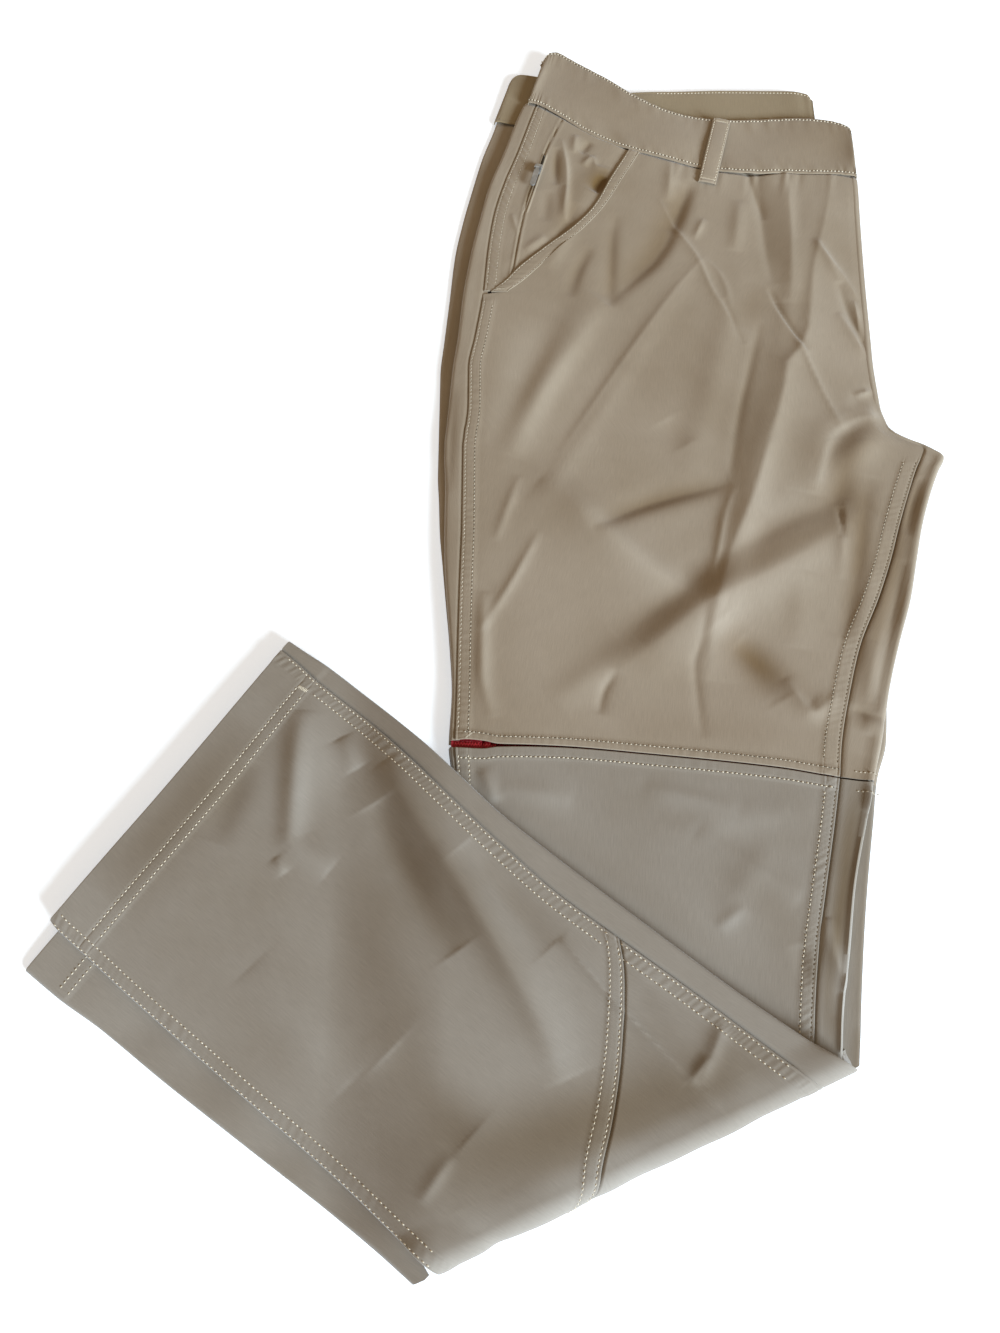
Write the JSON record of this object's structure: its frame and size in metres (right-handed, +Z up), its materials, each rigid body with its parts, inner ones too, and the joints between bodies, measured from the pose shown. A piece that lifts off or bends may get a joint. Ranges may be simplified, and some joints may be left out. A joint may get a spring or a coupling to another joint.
{
  "type": "convertible zip-off trousers",
  "caption": "Convertible trousers with zip-off lower legs, laid flat and folded twice, with waistband, belt loop, scoop pocket, small zip pocket and knee zip.",
  "frame": {"origin": "middle of the whole plan, on the surface the trousers lie on", "axes": "+Y along the upper legs towards the waistband, +X towards the crotch and inseam side, +Z up from the surface"},
  "size_m": [0.5232, 0.7936, 0.0239],
  "materials": {
    "cloth": "light woven synthetic, khaki taupe, faint satin sheen",
    "cloth_inside": "the same cloth's inner side, slightly darker and matt",
    "knee_zip": "crimson woven tape with a fine coil",
    "coin_zip_tape": "dark khaki tape with a fine coil",
    "zip_metal": "bright plated die-cast metal"
  },
  "bodies": {
    "trousers": {"thigh_left_under": "cloth", "calf_left_under": "cloth", "thigh_back_right": "cloth", "calf_back_right": "cloth", "thigh_front_right": "cloth", "calf_front_right": "cloth", "knee_zip_right": "knee_zip", "pocket_facing_right": "cloth", "pocket_edge_right": "cloth", "waistband_front_right": "cloth", "waistband_back_right": "cloth_inside", "waistband_left_under": "cloth", "belt_loop_right": "cloth", "coin_zip_tape": "coin_zip_tape", "coin_zip_slider": "zip_metal", "calf_right_over": "cloth", "calf_back_left_over": "cloth", "calf_front_left_hem": "cloth", "calf_front_left_knee": "cloth"},
    "pull_tab": {"coin_zip_pull": "zip_metal"}
  },
  "joints": [
    {"name": "pull_tab_hinge", "type": "hinge", "parent": "trousers", "child": "pull_tab", "pos_m": [0.01446, 0.28131, 0.01415], "axis": [-0.9638, 0.2668, 0], "range_deg": [0, 165]}
  ]
}
